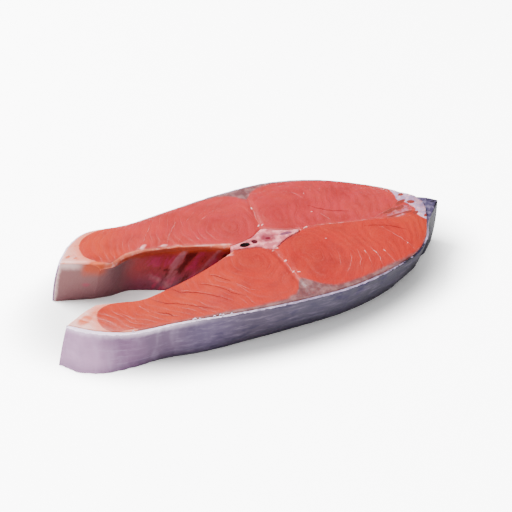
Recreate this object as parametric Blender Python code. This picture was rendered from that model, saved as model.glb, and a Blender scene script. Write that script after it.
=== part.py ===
"""A raw fish steak: a slice cut straight across the body of a large fish, lying on its lower cut.

It has three solids. The flesh is the two sides of the fish, grown together above the backbone and
open below it, where the belly cavity was, so that it ends in two belly flaps. The skin runs round
the outside from flap to flap. The backbone fills the notch where the two sides meet.

Plan points are in millimetres from the middle of the backbone: +X towards the ridge of the back,
-X towards the belly, +Y towards the far side and -Y towards the near side. Each is a point of the
upper cut. Lean is how far the same edge lies from there on the lower cut.
"""

import math

import bpy
import numpy as np

MM = 0.001

# Driving sizes, in millimetres.
THICKNESS = 26.0
SKIN_THICKNESS = 1.1
GAP = 0.32
SKIN_FOOT = 0.4
BACKBONE_FOOT = 0.4
BACKBONE_HEIGHT = THICKNESS - 0.6
SIDE_BULGE = 0.7
CUT_EDGE_RADIUS = 0.7
CAVITY_EDGE_RADIUS = 2.6
MUSCLE_CROWN = 1.0
SEPTUM_DEPTH = 1.2
SEPTUM_WIDTH = 2.2
FLAKE_DEPTH = 0.4
FLAKE_PITCH = 9.0
WAVE_HEIGHT = 0.4
WAVE_LENGTHS = (17.0, 29.0, 13.0, 41.0)
RELIEF_FADE = 5.0
# How flat the crown of a muscle is, and how sharp the edge of a flake: powers of a sine wave.
CROWN_POWER = 0.7
FLAKE_POWER = 4
# The height of the upper cut where it meets the skin.
RIM_HEIGHT = THICKNESS - MUSCLE_CROWN - CUT_EDGE_RADIUS

# Cells along the cavity wall, along each half of the backbone and along the seam of the back,
# cells from the inside of one side to its skin, and rows of cells down the outside.
CAVITY_CELLS = 25
BONE_CELLS = 7
SEAM_CELLS = 22
ACROSS_CELLS = 12
WALL_CELLS = 4
SEAM_START = CAVITY_CELLS + 2 * BONE_CELLS
SIDE_CELLS = SEAM_START + SEAM_CELLS
# Points on a fine smooth path.
PATH_POINTS = 1200
# How many times points near the ridge are evened out, and how quickly that fades away from it.
EVENING_PASSES = 60
EVENING_REACH = 6

# The skin's outer face, from the slit edge of each belly flap to the tip of the ridge.
FAR_SKIN = (
    (-106.3, 17.3), (-99.3, 29.2), (-90.5, 37.2), (-65.0, 38.2), (-38.0, 43.4), (-10.0, 48.3),
    (18.0, 49.8), (45.0, 43.2), (66.0, 31.6), (82.0, 18.9), (88.6, 10.0), (94.6, 7.4), (99.8, 3.0),
)
NEAR_SKIN = (
    (-112.7, -31.2), (-103.0, -38.6), (-88.0, -45.6), (-62.0, -47.4), (-30.0, -50.5), (0.0, -51.7),
    (30.0, -49.8), (55.0, -43.0), (70.0, -35.8), (80.5, -25.0), (86.8, -13.0), (94.0, -4.4),
    (99.8, 2.2),
)
# Where the skin line turns from a side into the end of the ridge.
SHOULDER_X = 84.0
# The end of the flesh in the ridge, from the near shoulder to the far one. The skin beyond is thick.
RIDGE_END = ((88.0, -6.4), (90.4, 0.4), (89.2, 6.4))
# Skin points level with the inner end of the backbone, its widest place and its outer end.
BESIDE_BACKBONE_X = (-13.0, 3.0, 19.0)

# The wall of the belly cavity, from the slit edge of each flap to the backbone.
FAR_CAVITY = (
    (-87.0, 7.8), (-80.0, 7.8), (-70.0, 11.4), (-55.0, 11.0), (-40.0, 7.8), (-28.0, 3.9),
    (-20.4, 1.2),
)
NEAR_CAVITY = (
    (-95.0, -20.6), (-85.0, -22.0), (-74.0, -23.7), (-60.0, -20.2), (-45.0, -14.9), (-30.0, -7.8),
    (-20.8, -2.7),
)
# The seam of the two sides in the back, from the backbone to the end of the ridge.
SEAM = ((19.6, 2.0), (32.0, 2.6), (46.0, 0.0), (66.0, -2.4), (80.0, -1.2))

# The backbone: x, then y of its far side and of its near side.
BACKBONE = (
    (-19.8, 0.7, -2.4), (-12.0, 2.4, -3.4), (-6.0, 4.8, -4.6), (-2.0, 8.4, -7.8), (0.0, 9.6, -8.9),
    (3.0, 8.3, -7.6), (7.0, 6.3, -4.4), (12.0, 4.2, -1.6), (18.4, 2.9, 1.1),
)
# The vessels and canals that open in it: x, y, half length, half width and depth.
BACKBONE_OPENINGS = (
    (-12.4, -0.5, 3.0, 2.0, 1.8),
    (-6.8, 0.3, 1.7, 1.8, 1.3),
    (0.8, 0.8, 2.2, 1.8, 1.0),
    (11.0, 1.5, 4.0, 1.2, 1.0),
)

# Lean across (towards +Y) by x, for the skin and for the wall of the cavity on each side.
FAR_SKIN_LEAN = (
    (-106, 1.6), (-95, 1.0), (-80, 0.0), (-40, -2.0), (0, -3.2), (50, -3.2), (80, -2.4), (90, -1.8), (100, -3.7),
)
NEAR_SKIN_LEAN = (
    (-113, 1.3), (-106, -1.1), (-98, -0.8), (-88, 1.6), (-75, 4.1), (-49, 4.2), (-25, 6.8), (0, 8.8),
    (35, 9.6), (60, 9.2), (70, 9.2), (77, 6.9), (83, 3.4), (90, -1.8), (100, -3.7),
)
FAR_CAVITY_LEAN = (
    (-106, 1.6), (-97, 4.0), (-87, 5.6), (-75, 4.0), (-62, -0.6), (-48, -4.2), (-21, 0.0),
)
NEAR_CAVITY_LEAN = ((-113, 4.9), (-95, 4.4), (-72, 4.0), (-50, 3.4), (-35, 1.6), (-21, 0.0))
# Lean along (towards +X) by x, for every edge.
LEAN_ALONG = (
    (-113, -5.9), (-98, -4.6), (-75, -2.4), (-50, -0.8), (-21, 0.0), (20, -0.2), (60, -3.8), (76, -4.6),
    (86, -3.3), (100, -3.7),
)

# The septum between back and belly muscle: where it leaves the backbone, and how it slopes.
SEPTUM_FOOT = (0.4, 9.5)
SEPTUM_SLOPE = 0.08
# Lumps of fat on the rim of the cavity: x, y, radius and height.
RIM_FAT = (
    (-62.0, 14.6, 2.8, 1.2), (-52.0, 12.8, 1.8, 0.7), (-44.5, 10.6, 1.8, 0.6), (-92.0, 13.0, 4.0, 0.5),
    (-100.0, -27.5, 4.0, 0.5),
)

# The middle of the rings of flakes in each muscle, and how the rings flatten with distance.
BACK_RINGS = {"far": (13.5, 17.0), "near": (18.0, -20.0)}
BELLY_RINGS = {"far": (-14.0, 16.0), "near": (-13.0, -16.0)}
BACK_RING_SQUASH = 0.6
BELLY_RING_SQUASH = ((0, 0.80), (14, 0.85), (30, 1.35), (60, 1.80))

COLOURS = {
    "flesh": ((0.68, 0.15, 0.075, 1.0), 0.35),
    "skin": ((0.17, 0.17, 0.22, 1.0), 0.38),
    "backbone": ((0.70, 0.48, 0.45, 1.0), 0.45),
}


def smooth(keys, values, at):
    """Values at the given keys on the smooth curve through the known keys and values."""
    keys = np.asarray(keys, float)
    values = np.asarray(values, float)
    slopes = np.gradient(values, keys, axis=0)
    at = np.clip(np.asarray(at, float), keys[0], keys[-1])
    k = np.clip(np.searchsorted(keys, at) - 1, 0, len(keys) - 2)
    span = keys[k + 1] - keys[k]
    t = (at - keys[k]) / span
    if values.ndim > 1:
        span, t = span[..., None], t[..., None]
    ends = values[k] * (1 + 2 * t) * (1 - t) ** 2 + values[k + 1] * t * t * (3 - 2 * t)
    return ends + span * t * (1 - t) * (slopes[k] * (1 - t) - slopes[k + 1] * t)


def read_off(table, at):
    """The smooth value of a table of (key, value) rows."""
    keys, values = np.asarray(table, float).T
    return smooth(keys, values, at)


def length_along(path):
    """The distance from the start of a path to each of its points."""
    steps = np.linalg.norm(np.diff(path, axis=0), axis=1)
    return np.concatenate([[0.0], np.cumsum(steps)])


def curve_through(points):
    """A fine smooth path through a few points."""
    points = np.asarray(points, float)
    run = length_along(points)
    return smooth(run, points, np.linspace(0, run[-1], PATH_POINTS))


def places_on(path, distances):
    """Points of a path at distances from its start."""
    run = length_along(path)
    return np.stack([np.interp(distances, run, path[:, k]) for k in range(2)], axis=1)


def evenly(path, cells):
    """Evenly spaced points of a path."""
    return places_on(path, np.linspace(0, length_along(path)[-1], cells + 1))


def unit(vectors):
    """The vectors, each at length one."""
    return vectors / np.linalg.norm(vectors, axis=1)[:, None]


def left_normals(path, closed=False):
    """Unit normals to the left of a path."""
    if closed:
        along = unit(np.roll(path, -1, axis=0) - np.roll(path, 1, axis=0))
    else:
        along = unit(np.gradient(path, axis=0))
    return np.stack([-along[:, 1], along[:, 0]], axis=1)


def shares_across():
    """Shares of the way from the inside to the skin, closer together near both ends."""
    t = np.linspace(0, 1, ACROSS_CELLS + 1)
    return 0.5 * t + 0.5 * (0.5 - 0.5 * np.cos(math.pi * t))


def skin_stations(points):
    """Points of one side's skin line: level with the inside's stations, then round the ridge."""
    path = curve_through(points)
    run = length_along(path)
    keys = [np.interp(x, path[:, 0], run) for x in (*BESIDE_BACKBONE_X, SHOULDER_X)]
    cells = np.cumsum([0, CAVITY_CELLS, BONE_CELLS, BONE_CELLS, SEAM_CELLS])
    along = np.interp(np.arange(cells[-1] + 1), cells, [0.0, *keys])
    ridge = np.linspace(keys[-1], run[-1], ACROSS_CELLS + 1)
    return places_on(path, np.concatenate([along, ridge[1:]]))


def skin_lines():
    """The outer line of the skin from the near slit round the ridge to the far slit, its inner
    line and the line of the flesh behind it: rows of x, y and lean, with the same stations."""
    near = skin_stations(NEAR_SKIN)
    far = skin_stations(FAR_SKIN)
    tip = (near[-1:] + far[-1:]) / 2
    outer = np.concatenate([near[:-1], tip, far[:-1][::-1]])
    inner = outer + left_normals(outer) * SKIN_THICKNESS
    first, last = SIDE_CELLS, SIDE_CELLS + 2 * ACROSS_CELLS
    ridge_end = curve_through((inner[first], *RIDGE_END, inner[last]))
    inner[first:last + 1] = evenly(ridge_end, 2 * ACROSS_CELLS)
    flesh = inner + left_normals(inner) * GAP
    on_far_side = np.arange(len(outer)) >= len(near)
    lines = []
    for line, x in ((outer, outer[:, 0]), (inner, inner[:, 0]), (flesh, inner[:, 0])):
        across = np.where(on_far_side, read_off(FAR_SKIN_LEAN, x), read_off(NEAR_SKIN_LEAN, x))
        lines.append(np.column_stack([line, read_off(LEAN_ALONG, x), across]))
    return lines


def backbone_sides():
    """The far and near sides of the backbone, as points at the same stations along X."""
    x, far, near = np.asarray(BACKBONE, float).T
    fine = np.linspace(x[0], x[-1], PATH_POINTS)
    run = length_along(np.stack([fine, smooth(x, far, fine)], axis=1))
    widest = np.interp(0.0, fine, run)
    stations = np.concatenate(
        [
            np.linspace(0, widest, BONE_CELLS + 1),
            np.linspace(widest, run[-1], BONE_CELLS)[1:],
        ]
    )
    at = np.interp(stations, run, fine)
    return np.stack([at, smooth(x, far, at)], axis=1), np.stack([at, smooth(x, near, at)], axis=1)


def inside_line(side, ridge_end):
    """The inside of one side: the cavity wall, the notch round the backbone, then the seam."""
    cavity = evenly(curve_through(FAR_CAVITY if side == "far" else NEAR_CAVITY), CAVITY_CELLS)
    bone = backbone_sides()[0 if side == "far" else 1]
    outwards = 1 if side == "far" else -1
    notch = bone + left_normals(bone) * GAP * outwards
    seam = evenly(curve_through((*SEAM, ridge_end[:2])), SEAM_CELLS)
    line = np.concatenate([cavity, notch[1:], seam])
    across = read_off(FAR_CAVITY_LEAN if side == "far" else NEAR_CAVITY_LEAN, line[:, 0])
    lean = np.stack([read_off(LEAN_ALONG, line[:, 0]), across], axis=1)
    return np.concatenate([np.concatenate([line, lean], axis=1)[:-1], ridge_end[None]])


def span_grid(inside, outside, start, end):
    """A grid of points that fills the area between four edges (a bilinearly blended patch).

    Near the end edge, which goes on in line with the outside, the points are evened out.
    """
    u = length_along(outside[:, :2])[:, None, None]
    u = u / u[-1]
    v = (shares_across() * (1 - u[..., 0]) + np.linspace(0, 1, ACROSS_CELLS + 1) * u[..., 0])[..., None]
    corners = (
        (1 - u) * (1 - v) * inside[0] + (1 - u) * v * outside[0]
        + u * (1 - v) * inside[-1] + u * v * outside[-1]
    )
    grid = (
        (1 - v) * inside[:, None] + v * outside[:, None]
        + (1 - u) * start[None] + u * end[None] - corners
    )
    for _ in range(EVENING_PASSES):
        around = grid[:-2, 1:-1] + grid[2:, 1:-1] + grid[1:-1, :-2] + grid[1:-1, 2:]
        grid[1:-1, 1:-1] += (around / 4 - grid[1:-1, 1:-1]) * u[1:-1] ** EVENING_REACH
    return grid


def side_grid(side):
    """One side of the fish, from the inside to the skin: a grid of x, y and lean."""
    line = skin_lines()[2]
    tip = len(line) // 2
    outside = line[:tip + 1] if side == "near" else line[tip:][::-1]
    inside = inside_line(side, outside[-1])
    share = shares_across()[:, None]
    slit = inside[0] * (1 - share) + outside[0] * share
    return span_grid(inside, outside[:SIDE_CELLS + 1], slit, outside[SIDE_CELLS:][::-1])


def back_of_septum(x, y):
    """How far points lie behind the septum that parts the back muscle from the belly muscle."""
    return x - SEPTUM_FOOT[0] - SEPTUM_SLOPE * (np.abs(y) - SEPTUM_FOOT[1])


def flake_phase(x, y, side):
    """A field that grows by one from flake to flake, in rings that stretch into slanted lines."""
    back = back_of_septum(x, y) > 0
    middle_x = np.where(back, BACK_RINGS[side][0], BELLY_RINGS[side][0])
    middle_y = np.where(back, BACK_RINGS[side][1], BELLY_RINGS[side][1])
    dx, dy = x - middle_x, y - middle_y
    squash = np.where(back, BACK_RING_SQUASH, read_off(BELLY_RING_SQUASH, np.abs(dx)))
    return np.hypot(dx, dy * squash) / FLAKE_PITCH


def edge_drop(distance, radius):
    """How far a rounded edge lies below the flat, at a distance in from it."""
    inset = np.clip(radius - distance, 0, radius)
    return radius - np.sqrt(radius * radius - inset * inset)


def relief(grid, side):
    """Heights of the upper cut: crowned muscles, grooves between them, flakes and round edges."""
    grid = grid[..., :2]
    x, y = grid[..., 0], grid[..., 1]
    from_inside = np.linalg.norm(grid - grid[:, :1], axis=-1)
    from_skin = np.linalg.norm(grid - grid[:, -1:], axis=-1)
    from_slit = np.linalg.norm(grid - grid[:1], axis=-1)
    share = from_inside / (from_inside + from_skin)
    inner = np.clip(np.minimum(from_inside, from_skin) / RELIEF_FADE, 0, 1)
    septum = np.exp(-((back_of_septum(x, y) / SEPTUM_WIDTH) ** 2))
    flakes = np.abs(np.cos(math.pi * flake_phase(x, y, side))) ** FLAKE_POWER
    first, second, third, fourth = WAVE_LENGTHS
    waves = np.sin(x / first + y / second) * np.sin(y / third - x / fourth)
    height = THICKNESS - MUSCLE_CROWN * (1 - np.sin(math.pi * share) ** CROWN_POWER)
    height = height + inner * (WAVE_HEIGHT * waves - SEPTUM_DEPTH * septum - FLAKE_DEPTH * flakes)
    for mid_x, mid_y, radius, lump in RIM_FAT:
        height = height + lump * np.exp(-((x - mid_x) ** 2 + (y - mid_y) ** 2) / radius**2)
    stations = np.arange(len(grid))[:, None]
    radius = np.where(stations <= CAVITY_CELLS, CAVITY_EDGE_RADIUS, CUT_EDGE_RADIUS)
    height -= edge_drop(from_inside, radius) * (stations < SEAM_START)
    height -= edge_drop(from_skin, CUT_EDGE_RADIUS)
    height -= edge_drop(from_slit, CUT_EDGE_RADIUS)
    return height


def number_grid(shape, start):
    """Running numbers for the points of a grid."""
    return np.arange(shape[0] * shape[1]).reshape(shape[:2]) + start


def grid_faces(numbers, flip):
    """Quads over a grid of point numbers, facing up unless flipped."""
    a, b, c, d = numbers[:-1, :-1], numbers[1:, :-1], numbers[1:, 1:], numbers[:-1, 1:]
    quads = np.stack([a, b, c, d], axis=-1).reshape(-1, 4)
    return quads[:, ::-1] if flip else quads


def ring_faces(upper, lower):
    """Quads between a ring of point numbers and the ring below it, facing out of a ring that
    goes round anticlockwise."""
    return np.stack([upper, lower, np.roll(lower, -1), np.roll(upper, -1)], axis=-1)


def smaller_area(points, halves):
    """The smaller area of the two triangles in each pair of halves."""
    areas = []
    for a, b, c in halves:
        areas.append(np.linalg.norm(np.cross(points[b] - points[a], points[c] - points[a]), axis=1))
    return np.minimum(*areas)


def split_quads(points, quads):
    """Triangles for the quads, each split so that its smaller half is as large as it can be."""
    a, b, c, d = quads.T
    one = ((a, b, c), (a, c, d))
    other = ((b, c, d), (b, d, a))
    better = smaller_area(points, one) >= smaller_area(points, other)
    halves = [np.where(better, one[k], other[k]).T for k in range(2)]
    return np.concatenate(halves)


def add_object(name, points, quads):
    """Add a smooth shaded mesh object with its own material to the part's collection."""
    mesh = bpy.data.meshes.new(name)
    triangles = split_quads(points, quads).tolist()
    mesh.from_pydata((points * MM).tolist(), [], triangles)
    mesh.shade_smooth()
    mesh.set_sharp_from_angle(angle=math.radians(40))
    colour, roughness = COLOURS[name]
    material = bpy.data.materials.new(name)
    material.use_nodes = True
    shader = material.node_tree.nodes["Principled BSDF"]
    shader.inputs["Base Color"].default_value = colour
    shader.inputs["Roughness"].default_value = roughness
    mesh.materials.append(material)
    obj = bpy.data.objects.new(name, mesh)
    bpy.data.collections["fish_steak"].objects.link(obj)


def side_at(line, into, bulge, z):
    """Where an outside face is at a height: it leans with depth and bulges at half height."""
    depth = np.clip(1 - z / RIM_HEIGHT, 0, 1)[:, None]
    return line[:, :2] + line[:, 2:] * depth - into * bulge[:, None] * np.sin(math.pi * depth)


def close_body(surface, heights, quads, loop, bulge, floor):
    """Close a body below its upper face: walls down from the loop round it, then a flat lower
    face with the same cells. surface holds x, y and lean."""
    edge, tops = surface[loop], heights[loop]
    into = left_normals(edge[:, :2], closed=True)
    points = [np.column_stack([surface[:, :2], heights])]
    faces = [quads]
    above, count = loop, len(surface)
    for share in np.linspace(0, 1, WALL_CELLS + 1)[1:-1]:
        z = tops + (floor - tops) * share
        points.append(np.column_stack([side_at(edge, into, bulge, z), z]))
        below = np.arange(len(loop)) + count
        faces.append(ring_faces(above, below))
        above, count = below, count + len(loop)
    lower = surface[:, :2] + surface[:, 2:]
    points.append(np.column_stack([lower, np.full(len(lower), floor)]))
    faces += [ring_faces(above, loop + count), quads[:, ::-1] + count]
    return drop_unused(np.concatenate(points), np.concatenate(faces))


def drop_unused(points, faces):
    """The points that faces use, numbered afresh, and the faces."""
    used, numbers = np.unique(faces, return_inverse=True)
    return points[used], numbers.reshape(faces.shape)


def make_flesh():
    """Both sides of the fish, joined along the seam of the back."""
    sides = {side: side_grid(side) for side in ("far", "near")}
    heights = {side: relief(grid, side) for side, grid in sides.items()}
    far = number_grid(sides["far"].shape, 0)
    near = number_grid(sides["near"].shape, far.size)
    near[SEAM_START:, 0] = far[SEAM_START:, 0]
    surface = np.concatenate([grid.reshape(-1, 4) for grid in sides.values()])
    quads = np.concatenate([grid_faces(far, False), grid_faces(near, True)])
    # Round the edge anticlockwise: the near skin, the end of the ridge, the far skin, the far
    # slit, the cavity and the notch, and the near slit.
    skin_side = np.concatenate([near[:, -1], near[-1, -2::-1], far[-1, 1:], far[-2::-1, -1]])
    notch = np.concatenate([far[1:SEAM_START + 1, 0], near[SEAM_START - 1::-1, 0]])
    loop = np.concatenate([skin_side, far[0, -2::-1], notch, near[0, 1:-1]])
    bulge = np.where(np.arange(len(loop)) < len(skin_side), SIDE_BULGE, 0.0)
    all_heights = np.concatenate([height.ravel() for height in heights.values()])
    return close_body(surface, all_heights, quads, loop, bulge, 0.0)


def make_skin():
    """A strip of even thickness round the flesh, thicker at the ridge of the back."""
    outer, inner, _ = skin_lines()
    bulge = np.full(len(outer), SIDE_BULGE)
    levels = np.linspace(RIM_HEIGHT, SKIN_FOOT, WALL_CELLS + 1)
    rows = []
    for line, steps in ((outer, levels), (inner, levels[::-1])):
        into = left_normals(line[:, :2])
        for z in steps:
            height = np.full(len(line), z)
            rows.append(np.column_stack([side_at(line, into, bulge, height), height]))
    grid = np.stack(rows, axis=1)
    numbers = number_grid(grid.shape, 0)
    around = np.concatenate([numbers, numbers[:, :1]], axis=1)
    ends = []
    for end, flip in ((numbers[0], False), (numbers[-1], True)):
        ends.append(grid_faces(np.stack([end[:len(levels)], end[len(levels):][::-1]]), flip))
    return grid.reshape(-1, 3), np.concatenate([grid_faces(around, True), *ends])


def backbone_height(x, y, from_edge):
    """Height of the cut backbone: round edges, with vessels and canals sunk into it."""
    height = BACKBONE_HEIGHT - edge_drop(from_edge, CUT_EDGE_RADIUS)
    for mid_x, mid_y, length, width, depth in BACKBONE_OPENINGS:
        reach = ((x - mid_x) / length) ** 2 + ((y - mid_y) / width) ** 2
        height = height - depth * np.exp(-reach * reach)
    return height


def make_backbone():
    """The backbone, spanned between its far and near sides, with straight sides."""
    far, near = backbone_sides()
    share = np.linspace(0, 1, BONE_CELLS + 1)[None, :, None]
    plan = near[:, None] * (1 - share) + far[:, None] * share
    width = np.linalg.norm(far - near, axis=1)[:, None]
    heights = backbone_height(plan[..., 0], plan[..., 1], width * np.minimum(share, 1 - share)[..., 0])
    numbers = number_grid(plan.shape, 0)
    loop = np.concatenate([numbers[:, 0], numbers[-1, 1:], numbers[-2::-1, -1], numbers[0, -2:0:-1]])
    surface = np.concatenate([plan, np.zeros(plan.shape)], axis=-1).reshape(-1, 4)
    upright = np.zeros(len(loop))
    return close_body(surface, heights.ravel(), grid_faces(numbers, False), loop, upright, BACKBONE_FOOT)


def build():
    """Clear the scene and make the three solids about the middle of their common floor area."""
    for old in list(bpy.data.objects):
        bpy.data.objects.remove(old)
    collection = bpy.data.collections.new("fish_steak")
    bpy.context.scene.collection.children.link(collection)
    solids = {"flesh": make_flesh(), "skin": make_skin(), "backbone": make_backbone()}
    everything = np.concatenate([points for points, _ in solids.values()])
    middle = (everything.min(axis=0) + everything.max(axis=0)) / 2
    middle[2] = 0
    for name, (points, faces) in solids.items():
        add_object(name, points - middle, faces)


build()
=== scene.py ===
"""A raw fish steak on a plain pale floor: cut flesh, skin and backbone, with their wet details.

Plan points are in millimetres from the middle of the backbone: +X towards the ridge of the back,
-X towards the belly, +Y towards the far side and -Y towards the near side. Each is a point of the
upper cut. Lean is how far the same edge lies from there on the lower cut.
"""

import math

import bpy
import numpy as np
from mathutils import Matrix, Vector, noise
from mathutils.bvhtree import BVHTree


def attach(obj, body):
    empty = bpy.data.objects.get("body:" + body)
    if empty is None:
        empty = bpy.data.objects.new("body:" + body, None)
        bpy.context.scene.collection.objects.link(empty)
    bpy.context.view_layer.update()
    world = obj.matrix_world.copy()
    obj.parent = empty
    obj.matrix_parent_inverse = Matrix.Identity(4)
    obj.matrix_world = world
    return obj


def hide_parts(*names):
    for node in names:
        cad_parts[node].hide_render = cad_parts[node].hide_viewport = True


MM = 0.001
# Where the middle of the backbone lies in the frame, in millimetres.
MIDDLE = np.array([9.350, 0.816, 0.0])

MIDDLE_X = float(MIDDLE[0])

# Driving sizes, in millimetres.
THICKNESS = 26.0
SKIN_THICKNESS = 1.1
OVERLAP = 0.12
SKIN_FOOT = 0.4
BACKBONE_FOOT = 0.4
BACKBONE_HEIGHT = 25.4
SIDE_BULGE = 0.7
CUT_EDGE_RADIUS = 0.7
CAVITY_EDGE_RADIUS = 2.6
MUSCLE_CROWN = 1.0
CROWN_FULLNESS = 0.7
SEPTUM_DEPTH = 0.6
SEPTUM_WIDTH = 1.7
FLAKE_DEPTH = 0.14
FLAKE_PITCH = 4.5
# How flakes stray from even rings: the size of each swing and how many flakes far it goes.
FLAKE_WARPS = ((24.0, 1.5), (8.0, 0.5))
FLAKE_SHARPNESS = 8
# Long waves in the cut: their height, and how slowly each of two turns along X and Y.
WAVE_HEIGHT = 0.4
WAVE_LENGTHS = ((17.0, 29.0), (41.0, 13.0))
RELIEF_FADE = 5.0
# The height of the upper cut where it meets the skin, and how far the skin stands above that.
RIM_HEIGHT = THICKNESS - MUSCLE_CROWN - CUT_EDGE_RADIUS
SKIN_RISE = 0.35
EDGE_RIPPLE = 0.3
# Two kinds of ripples in the skin: how close together they come, the slice of noise they are taken
# from, and their share.
SKIN_RIPPLES = ((0.31, 4, 1), (0.9, 7, 0.6))
# How deep they are in the back, how much deeper in the flap, and where along X that fades out.
RIPPLE_DEPTH = 0.12
WRINKLE_DEPTH = 0.5
WRINKLES_FADE = (-95, -55)
# The flesh meets the skin with a sharper edge than it has on the slit faces.
FLESH_EDGE_RADIUS = 0.45

# Cells along the cavity wall, along each half of the backbone and along the seam of the back,
# cells from the inside of one side to its skin, rows of cells down the outside, and cells across
# the edge of the skin.
CAVITY_CELLS = 100
BONE_CELLS = 28
SEAM_CELLS = 88
ACROSS_CELLS = 48
WALL_CELLS = 18
SKIN_EDGE_CELLS = 8
SEAM_START = CAVITY_CELLS + 2 * BONE_CELLS
SIDE_CELLS = SEAM_START + SEAM_CELLS
# Points of a fine curve, and of a fine side of the backbone.
CURVE_POINTS = 1200
BONE_POINTS = 400
# How many times points near the ridge are evened out, and how quickly that fades away from it.
EVENING_PASSES = 900
EVENING_REACH = 6

# The skin's outer face, from the slit edge of each belly flap to the tip of the ridge.
SKIN = {
    "far": (
        (-106.3, 17.3), (-99.3, 29.2), (-90.5, 37.2), (-65, 38.2), (-38, 43.4), (-10, 48.3),
        (18, 49.8), (45, 43.2), (66, 31.6), (82, 18.9), (88.6, 10), (94.6, 7.4), (99.8, 3),
    ),
    "near": (
        (-112.7, -31.2), (-103, -38.6), (-88, -45.6), (-62, -47.4), (-30, -50.5), (0, -51.7),
        (30, -49.8), (55, -43), (70, -35.8), (80.5, -25), (86.8, -13), (94, -4.4),
        (99.8, 2.2),
    ),
}
# Where the skin line turns from a side into the end of the ridge.
SHOULDER_X = 84.0
# The end of the flesh in the ridge, from the near shoulder to the far one. The skin beyond it is
# thick.
RIDGE_END = ((88, -6.4), (90.4, 0.4), (89.2, 6.4))
# Skin points level with the inner end of the backbone, its widest place and its outer end.
BESIDE_BACKBONE_X = (-13, 3, 19)

# The wall of the belly cavity, from the slit edge of each flap to the backbone.
CAVITY = {
    "far": (
        (-87, 7.8), (-80, 7.8), (-70, 11.4), (-55, 11), (-40, 7.8), (-28, 3.9),
        (-20.4, 1.2),
    ),
    "near": (
        (-95, -20.6), (-85, -22), (-74, -23.7), (-60, -20.2), (-45, -14.9), (-30, -7.8),
        (-20.8, -2.7),
    ),
}
# The seam of the two sides in the back, from the backbone to the end of the ridge.
SEAM = ((19.6, 2), (32, 2.6), (46, 0), (66, -2.4), (80, -1.2))

# The backbone: x, then y of its far side and of its near side.
BACKBONE = (
    (-19.8, 0.7, -2.4), (-12, 2.4, -3.4), (-6, 4.8, -4.6), (-2, 8.4, -7.8), (0, 9.6, -8.9),
    (3, 8.3, -7.6), (7, 6.3, -4.4), (12, 4.2, -1.6), (18.4, 2.9, 1.1),
)
# The vessels and canals that open in it: x, y, half length, half width, depth and what shows there.
BACKBONE_OPENINGS = (
    (-12.4, -0.5, 3, 2, 1.8, "vessel"),
    (-6.8, 0.3, 1.7, 1.8, 1.3, "blood"),
    (0.8, 0.8, 2.2, 1.8, 1, "chord"),
    (11, 1.5, 4, 1.2, 1, "canal"),
)

# How much of that depth shows: the rest is filled with dark blood.
OPENING_SHARE = 0.35

# Lean across (towards +Y) by x, for the skin and for the wall of the cavity on each side.
SKIN_LEAN = {
    "far": (
        (-106, 1.6), (-95, 1), (-80, 0), (-40, -2), (0, -3.2), (50, -3.2), (80, -2.4),
        (90, -1.8), (100, -3.7),
    ),
    "near": (
        (-113, 1.3), (-106, -1.1), (-98, -0.8), (-88, 1.6), (-75, 4.1), (-49, 4.2), (-25, 6.8), (0, 8.8),
        (35, 9.6), (60, 9.2), (70, 9.2), (77, 6.9), (83, 3.4), (90, -1.8), (100, -3.7),
    ),
}
CAVITY_LEAN = {
    "far": (
        (-106, 1.6), (-97, 4), (-87, 5.6), (-75, 4), (-62, -0.6), (-48, -4.2), (-21, 0),
    ),
    "near": ((-113, 4.9), (-95, 4.4), (-72, 4), (-50, 3.4), (-35, 1.6), (-21, 0)),
}
# Lean along (towards +X) by x, for every edge.
LEAN_ALONG = (
    (-113, -5.9), (-98, -4.6), (-75, -2.4), (-50, -0.8), (-21, 0), (20, -0.2), (60, -3.8), (76, -4.6),
    (86, -3.3), (100, -3.7),
)

# The septum between back and belly muscle: where it leaves the backbone, and how it slopes.
SEPTUM_FOOT = (0.4, 9.5)
SEPTUM_SLOPE = 0.08
# Lumps of fat on the rim of the cavity: x, y, radius and height.
RIM_FAT = (
    (-62, 14.6, 2.2, 0.6), (-52, 12.8, 1.5, 0.35), (-44.5, 10.6, 1.5, 0.35),
    (-92, 13, 4, 0.5), (-100, -27.5, 4, 0.5),
)
# White bits of fat on that rim: x, y, half length, half width and angle.
RIM_WHITES = (
    (-62.3, 14.8, 2.6, 1.3, 40), (-51.8, 12.6, 2.2, 0.9, 0), (-33, 6.8, 5, 0.6, -16),
    (-22.6, 3.6, 2.2, 0.8, -20), (-24.6, -4.8, 4.4, 1.7, -28),
)

# The height from which the skin's cut edge is white, by x.
WHITE_EDGE = (
    (-113, 23.3), (-90, 23.7), (-60, 24.1), (-20, 24.05), (45, 24.2), (58, 24.5), (74, 24.7),
    (80, 23.9), (88, 23.4), (91, 23.9), (99, 24.6),
)

# The middle of the rings of flakes in each muscle, and how the rings flatten with distance.
BACK_RINGS = {"far": (13.5, 17), "near": (18, -20)}
BELLY_RINGS = {"far": (-14, 16), "near": (-13, -16)}
BACK_RING_SQUASH = 0.6
BELLY_RING_SQUASH = ((0, 0.80), (14, 0.85), (30, 1.35), (60, 1.80))

# The round end of the orange muscle in each flap: middle, half length and half width; and how far
# its outline goes from an ellipse (2) towards a rectangle.
FLAP_LOBES = {"far": (-73, 22.6, 20.4, 14.6), "near": (-82, -33.6, 15.8, 10.8)}
LOBE_SQUARENESS = 2.5
# How far the band of fat along the rim of the cavity reaches onto the cut, by x, on each side.
RIM_BANDS = {
    "far": (
        (-87, -1), (-83, 0.6), (-78, 1.6), (-70, 2.2), (-64, 1.9), (-58, 1.4), (-48, 1.5),
        (-30, 1.6), (-22, 2.2),
    ),
    "near": ((-95, 1.1), (-70, 1), (-40, 1), (-28, 1.3), (-22, 2)),
}
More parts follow.
